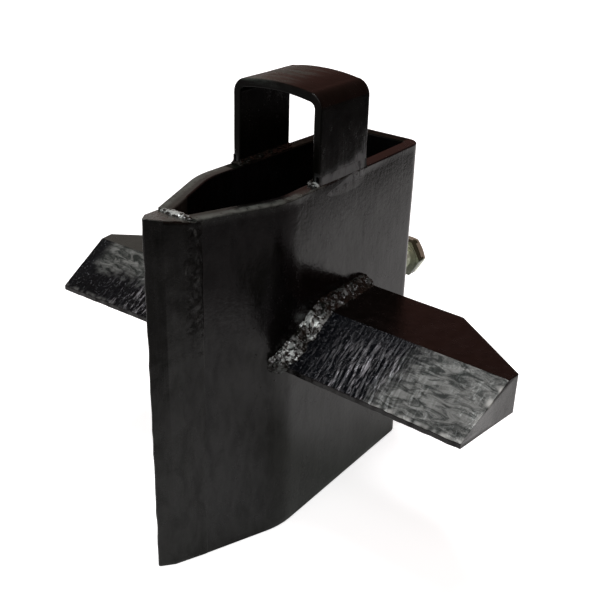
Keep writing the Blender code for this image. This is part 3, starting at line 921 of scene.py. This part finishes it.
def bead_ring(name, corners, size, surface, seed, pitch=0.0030, reach=1.0, glint=plain_bead):
    """A lumpy fillet all round a convex outline, anticlockwise, that stands on a surface.

    size(outward) is its leg on the surface, and the leg that climbs away is reach times as long.
    glint(corner, outward) is how bare its metal is, and so how strong its painted glints are.
    """
    rings = []
    bare_and_glint = []
    for corner, outward, walked in outward_walk(corners, BEAD_STEP):
        leg = size(outward)
        climb = leg * reach
        toe = 1.0 + 0.20 * grain(walked * 230.0, seed, 8.0)
        heel = 1.0 + 0.26 * grain(walked * 190.0, seed, 15.0)
        section = [(-SINK, -SINK), (leg * toe, -SINK)]
        for step in range(BEAD_STEPS + 1):
            share = step / BEAD_STEPS
            angle = 0.5 * pi * share
            away = leg * toe * (0.6 * (1.0 - share) + 0.4 * cos(angle))
            height = climb * heel * (0.6 * share + 0.4 * sin(angle))
            push = leg * bead_lumps(walked, share, seed, pitch) * sin(pi * share) ** 0.5
            section.append((away + 0.8 * push, height + 0.6 * push))
        section.append((-SINK, climb * heel))
        rings.append([surface(corner + outward * away, height) for away, height in section])
        bare_and_glint += [glint(corner, outward)] * len(section)
    item = skin(name, rings, loop=True)
    mark(item, "bare_and_glint", bare_and_glint)
    return item


def make_wing_weld(word, side, front, underside, material):
    def surface(point, height):
        y = front + point.x
        return place(side * (wall_x(y) + height), y, underside + point.y)

    def size(outward):
        """Heaviest where the bevel meets the sleeve and lightest at the back."""
        return WING_FILLET * (0.80 + 0.25 * outward.dot(BEVEL_OUT))

    def glint(corner, outward):
        """Bare metal with painted glints in two clumps beside the bevel."""
        across = (corner - BEVEL_START).dot(BEVEL_RUN) / BEVEL_WIDTH
        clumps = sum(exp(-((across - centre) / wide) ** 2) for centre, wide in GLINT_CLUMPS)
        return 0.06 + 0.80 * min(1.0, clumps) * ramp(outward.dot(BEVEL_OUT), 0.90, 0.97)

    item = bead_ring(f"wing_bead_{word}", WING_CORNERS, size, surface, 5.0 * side, reach=WING_TOE,
                     glint=glint)
    finish(item, material, f"wing_weld_{word}", sharp=BEAD_SHARP)


def make_spatter(material):
    """Small drops of weld metal on the sleeve round the wings' roots."""
    draw = random.Random(7)
    bm = bmesh.new()
    for side, front, underside in WINGS.values():
        for _ in range(12):
            y = front + draw.uniform(-0.014, 0.030)
            z = underside + draw.uniform(-0.016, 0.034)
            radius = draw.uniform(0.0003, 0.0008)
            spot = place(side * wall_x(y), y, z)
            add_drop(bm, spot, Vector((side, 0.0, 0.0)), radius)
    mesh = bpy.data.meshes.new("weld_spatter")
    bm.to_mesh(mesh)
    bm.free()
    finish(solid("weld_spatter", mesh), material, sharp=BEAD_SHARP)


def add_drop(bm, spot, outward, radius):
    """A flattened drop sunk a third of its height into a surface."""
    turn = outward.to_track_quat("Z", "Y").to_matrix().to_4x4()
    shape = Matrix.Translation(spot) @ turn @ Matrix.Diagonal((radius, radius * 1.2, radius * 0.6, 1.0))
    bmesh.ops.create_icosphere(bm, subdivisions=2, radius=1.0, matrix=shape)


# ---- handle

def strap_line(half_span, top, radius):
    """The upturned U in (x, z): up one leg, over the arched top and down the other."""
    foot = Vector((half_span, HEIGHT - 0.0004))
    shoulder = Vector((half_span, top - STRAP_CROWN))
    bend = round_corner(foot, shoulder, Vector((0.0, shoulder.y)), radius, 12)
    half = divided(foot, bend[0], 26) + bend
    straight = half_span - radius
    for step in range(1, 12):
        share = 1.0 - step / 12
        half.append(Vector((straight * share, shoulder.y + STRAP_CROWN * (1.0 - share * share))))
    return half + [Vector((0.0, top))] + [Vector((-point.x, point.y)) for point in reversed(half)]


def make_handle(material):
    top = HEIGHT + HANDLE_RISE
    outside = strap_line(HANDLE_HALF_SPAN, top, STRAP_RADIUS)
    inside = strap_line(HANDLE_HALF_SPAN - STRAP, top - STRAP, STRAP_RADIUS - STRAP)
    corners = outline((0.0, 0.0), (HANDLE_WIDTH, 0.0), (HANDLE_WIDTH, STRAP), (0.0, STRAP))
    section = rounded_loop(corners, STRAP_ROUND, [0.0030] * 4)
    rings = []
    ground_and_highlight = []
    dragged = []
    for low, high in zip(inside, outside):
        across = (high - low) / STRAP
        ring = []
        for point in section:
            middle = low + across * point.y
            spot = place(middle.x, HANDLE_FRONT + point.x, middle.y)
            sway = wavy(spot, STRAP_WAVE, 45.0, 2.0) - STRAP_INSET
            ring.append(spot + Vector((across.x, 0.0, across.y)) * sway)
            ground_and_highlight.append(ground_share(point.x, middle.y) * ramp(point.y / STRAP, 0.6, 0.9))
            on_top = ramp(across.y, 0.5, 0.9) * ramp(point.y / STRAP, 0.6, 0.9)
            dragged.append(on_top * (1.0 - ramp(middle.x, -0.006, 0.014)))
        rings.append(ring)
    item = skin("handle_loop", rings)
    mark(item, "ground_and_highlight", ground_and_highlight)
    mark(item, "dragged", dragged)
    finish(item, material, "handle_strap")


def ground_share(along, height):
    """How pale the ground metal shows at a spot on a leg's outside or just below it on the sleeve.

    It climbs from the front of the leg to the rear, where a painted highlight runs on up the edge as a
    streak.
    """
    share = along / HANDLE_WIDTH
    ragged = 0.003 * grain(along * 160.0, height * 60.0, 3.0)
    top = HEIGHT + GROUND_HEIGHT * (0.45 + 0.55 * share) + ragged
    # Painted highlight: a streak up the leg's rear edge
    streak = ramp(share, 0.86, 0.93) * (1.0 - ramp(height, HEIGHT + 0.012, HEIGHT + 0.024))
    patch = 1.0 - ramp(height, top - 0.0025, top + 0.0025)
    bottom = ramp(height, HEIGHT - BLEND_BELOW + 0.0015 + 0.005 * share + ragged, HEIGHT - 0.002)
    return max(patch, 0.7 * streak) * bottom


def make_handle_weld(word, side, material):
    front = HANDLE_FRONT
    rear = front + HANDLE_WIDTH
    left, right = sorted((side * HANDLE_HALF_SPAN, side * (HANDLE_HALF_SPAN - STRAP)))
    corners = outline((left, front), (right, front), (right, rear), (left, rear))

    def surface(point, height):
        return place(point.x, point.y, HEIGHT + height)

    def size(outward):
        """Ground down on the outside, where the leg is flush with the sleeve, and small at the ends."""
        outside = max(0.0, side * outward.x)
        end = abs(outward.y)
        return HANDLE_FILLET * (1.0 - 0.92 * outside) * (1.0 - 0.35 * end)

    def glint(corner, outward):
        """A bare spot with a painted glint at the right leg's front foot."""
        return 0.45 * ramp(-outward.y, 0.3, 0.9) if side > 0.0 else 0.0

    item = bead_ring(f"handle_bead_{word}", corners, size, surface, 3.0 + side, 0.0020, glint=glint)
    finish(item, material, f"handle_weld_{word}", sharp=BEAD_SHARP)


def make_handle_blend(word, side, material):
    """The ground-off weld that carries the sleeve's flank smoothly up into the handle's leg."""
    rings = []
    ground_and_highlight = []
    count = 80
    for i in range(count + 1):
        share = i / count
        y = HANDLE_FRONT + HANDLE_WIDTH * share
        edge = sin(pi * share) ** 0.7
        fade = ramp(min(share, 1.0 - share), 0.0, 0.09)
        low = HEIGHT - BLEND_BELOW
        high = HEIGHT + BLEND_ABOVE
        ring = []
        for step in range(33):
            rise = step / 32
            z = low + (high - low) * rise
            flank = wall_x(y) + (HANDLE_HALF_SPAN - wall_x(y)) * ramp(z, HEIGHT - 0.006, HEIGHT)
            crown = BLEND_PROUD * edge * sin(pi * rise)
            ring.append(place(side * (flank - 0.00010 + crown), y, z))
            ground_and_highlight.append(fade * ground_share(HANDLE_WIDTH * share, z))
        for z in (high, low):
            ring.append(place(side * (HANDLE_HALF_SPAN - BURIED), y, z))
            ground_and_highlight.append(0.0)
        rings.append(ring)
    item = skin(f"handle_blend_{word}", rings)
    mark(item, "ground_and_highlight", ground_and_highlight)
    finish(item, material, sharp=BEAD_SHARP)


# ---- nut and bolt

def hex_corners(width):
    """The corners of a hexagon that is width across its flats."""
    first = Vector((width / sqrt(3.0), 0.0))
    return [Matrix.Rotation(pi * i / 3.0, 2) @ first for i in range(6)]


def hex_ring(width, z):
    """A rounded hexagon at height z."""
    corners = hex_corners(width)
    arcs = []
    for i, corner in enumerate(corners):
        arcs.append(round_corner(corners[i - 1], corner, corners[(i + 1) % 6], HEX_ROUND, 3))
    points = []
    for i, arc in enumerate(arcs):
        points += arc[:-1] + divided(arc[-1], arcs[(i + 1) % 6][0], HEX_STEPS)
    return [Vector((point.x, point.y, z)) for point in points]


def off_axis(point):
    """The direction from the axis to a point."""
    return Vector((point.x, point.y, 0.0)).normalized()


def chamfered(ring, limit):
    """Pull a ring's corners down along a shallow cone, as turned hexagon heads are."""
    lowered = []
    for point in ring:
        over = max(0.0, point.xy.length - limit)
        lowered.append(Vector((point.x, point.y, point.z - over * CONE_SLOPE)))
    return lowered


def hex_rings(width, start, end):
    """Rings for a hexagonal block: flat at the start, chamfered at the end."""
    half = 0.5 * width
    flat = hex_ring(width, start)
    top = chamfered(hex_ring(width, end - 0.0002), half)
    body = [flat]
    for share in (0.25, 0.5, 0.75):
        body.append([low.lerp(high, share) for low, high in zip(flat, top)])
    body.append(top)
    crown = []
    for point in top:
        reach = min(point.xy.length, half * 0.955)
        crown.append(off_axis(point) * reach + Vector((0.0, 0.0, end)))
    return body, crown


def lay_along_y(item, y):
    """Turn a piece built along local Z so that it points backwards on the bolt's axis."""
    item.data.transform(Matrix.Rotation(radians(-90.0), 4, "X"))
    item.data.transform(Matrix.Translation(place(0.0, y, BOLT_HEIGHT)))
    return item


def bored_rings(body, crown, bore, start, end):
    """Close a block's outside round a countersunk bore."""
    def circle(radius, z):
        return [off_axis(point) * radius + Vector((0.0, 0.0, z)) for point in crown]

    inside = [circle(bore + BORE_CHAMFER, end), circle(bore, end - BORE_CHAMFER), circle(bore, start)]
    return body + [crown] + inside


def make_nut(material):
    body, crown = hex_rings(NUT_WIDTH, -NUT_SUNK, NUT_THICKNESS)
    rings = bored_rings(body, crown, BOLT_RADIUS + THREAD_GAP, -NUT_SUNK, NUT_THICKNESS)
    item = lay_along_y(skin("nut_block", rings, loop=True), LENGTH)
    finish(item, material, "anchor_nut", sharp=HEXAGON_SHARP)


def make_nut_weld(material):
    def surface(point, height):
        return place(point.x, LENGTH + height, BOLT_HEIGHT + point.y)

    item = bead_ring("nut_bead", hex_corners(NUT_WIDTH), lambda outward: NUT_FILLET, surface, 12.0, 0.0026)
    finish(item, material, "nut_weld", sharp=BEAD_SHARP)


def thread_radius(turns):
    """The thread's profile over one pitch: a narrow crest, straight flanks and a rounded root."""
    phase = turns % 1.0
    rise = abs(2.0 * phase - 1.0)
    level = min(1.0, max(0.0, (rise - 0.10) / 0.76))
    return BOLT_RADIUS - 0.00015 - THREAD_DEPTH * (1.0 - level)


def make_bolt(material, shaded_zinc):
    """Shank and head in one skin, built along local Z with the head's underside at zero."""
    angles = [atan2(p.y, p.x) for p in hex_ring(HEAD_WIDTH, 0.0)]
    count = 330
    rings = []
    for i in range(count + 1):
        z = -BOLT_LENGTH + (BOLT_LENGTH - WASHER_FACE) * i / count
        lead_in = BOLT_RADIUS - TIP_CHAMFER + (z + BOLT_LENGTH)
        ring = []
        for angle in angles:
            radius = min(thread_radius(z / THREAD_PITCH - angle / (2.0 * pi)), lead_in)
            ring.append(Vector((radius * cos(angle), radius * sin(angle), z)))
        rings.append(ring)
    body, crown = hex_rings(HEAD_WIDTH, WASHER_FACE, HEAD_THICKNESS)
    washer = [off_axis(point) * WASHER_RADIUS for point in crown]
    rings.append(washer)
    rings.append([point + Vector((0.0, 0.0, WASHER_FACE)) for point in washer])
    rings += body + [crown]
    item = lay_along_y(skin("bolt_threaded", rings), HEAD_START)
    finish(item, material, "set_bolt", body="set_bolt", sharp=HEXAGON_SHARP)
    head = place(0.0, HEAD_START, 0.0).y

    def inner_flat(face):
        """The head's flats, but for a band along their outer end: these get the darker zinc as painted
        shade.
        """
        return head < face.center.y < head + SHADED_SHARE * HEAD_THICKNESS and abs(face.normal.y) < 0.5

    second_material(item, shaded_zinc, inner_flat)


# ---- stage

def make_floor():
    bpy.ops.mesh.primitive_plane_add(size=FLOOR_SIZE, location=(0.0, 0.0, -0.0002))
    floor = bpy.context.object
    floor.name = "studio_floor"
    floor.data.materials.append(floor_material())


def glow(graph, direction, towards, edge, core, colour):
    """A soft round light in the sky: a colour that fades in as a direction nears the given one."""
    given = Vector(towards).normalized()
    dot = graph.node("ShaderNodeVectorMath", {0: direction, 1: given}, operation="DOT_PRODUCT")
    fade = graph.spread(dot.outputs["Value"], cos(radians(edge)), cos(radians(core)))
    inputs = {0: colour, "Scale": fade}
    return graph.node("ShaderNodeVectorMath", inputs, operation="SCALE").outputs["Vector"]


# Where each light is, the angles from its middle at which it fades in and is full, and its colour:
# one overhead, one high in front, a pale wall on the left and another in front
SKY_LIGHTS = (
    ((-0.10, -0.03, 1.0), 13.0, 6.0, (18.8, 18.5, 19.1)),
    ((0.30, -0.85, 0.80), 32.0, 14.0, (2.1, 2.1, 2.1)),
    ((-0.94, 0.20, 0.27), 42.0, 28.0, (0.28, 0.34, 0.31)),
    ((0.25, -1.0, 0.35), 75.0, 45.0, (0.25, 0.25, 0.26)),
)
SKY_BASE = (0.155, 0.068, 0.056)


def make_world():
    """A dim warm room with the sky's lights in it, which the camera itself sees as plain white."""
    world = bpy.data.worlds.new("studio")
    bpy.context.scene.world = world
    world.use_nodes = True
    graph = Graph(world.node_tree)
    direction = graph.node("ShaderNodeTexCoord", {}).outputs["Generated"]
    total = SKY_BASE
    for light in SKY_LIGHTS:
        inputs = {0: glow(graph, direction, *light), 1: total}
        total = graph.node("ShaderNodeVectorMath", inputs, operation="ADD").outputs["Vector"]
    colour = graph.blend(graph.seen(), total, (1.0, 1.0, 1.0))
    graph.tree.links.new(colour, graph.tree.nodes["Background"].inputs["Color"])


def make_camera():
    """The photograph's camera, as solved from the object's outline."""
    azimuth = radians(VIEW_AZIMUTH)
    elevation = radians(VIEW_ELEVATION)
    flat = cos(elevation)
    forward = Vector((-sin(azimuth) * flat, cos(azimuth) * flat, -sin(elevation)))
    level = Vector((cos(azimuth), sin(azimuth), 0.0))
    right = Matrix.Rotation(radians(-VIEW_ROLL), 3, forward) @ level
    above = right.cross(forward)
    camera = bpy.data.objects.new("camera", bpy.data.cameras.new("camera"))
    bpy.context.scene.collection.objects.link(camera)
    turn = Matrix((right, above, -forward)).transposed()
    camera.matrix_world = Matrix.Translation(CAMERA_PLACE) @ turn.to_4x4()
    camera.data.lens = LENS
    camera.data.sensor_width = 36.0
    camera.data.clip_start = 0.01
    bpy.context.scene.camera = camera


def build():
    sleeve_paint = sleeve_enamel()
    weld_paint = weld_enamel()
    handle_paint = handle_enamel()
    wing_paint = wing_enamel()
    cut_paint = cut_enamel()
    seam_paint = seam_enamel()
    ground_paint = ground_enamel()

    make_sleeve(sleeve_paint, shaded_rim_enamel())
    make_nose(nose_enamel(), sleeve_paint)
    make_cap_weld(weld_paint)
    make_handle(handle_paint)
    for word, (side, front, underside) in WINGS.items():
        make_seam_weld(word, side, seam_paint)
        make_wing(word, side, front, underside, wing_paint, cut_paint)
        make_wing_weld(word, side, front, underside, weld_paint)
        make_handle_weld(word, side, weld_paint)
        make_handle_blend(word, side, ground_paint)
    make_spatter(weld_paint)
    make_nut(sleeve_paint)
    make_nut_weld(weld_paint)
    bright = zinc("zinc_plate", (0.41, 0.44, 0.33), (0.65, 0.69, 0.56))
    # The darker zinc is painted shade on the head's flats
    make_bolt(bright, zinc("zinc_painted_shade", (0.040, 0.056, 0.030), (0.100, 0.125, 0.080)))


build()
make_floor()
make_world()
make_camera()
bpy.context.scene.view_settings.view_transform = "Standard"
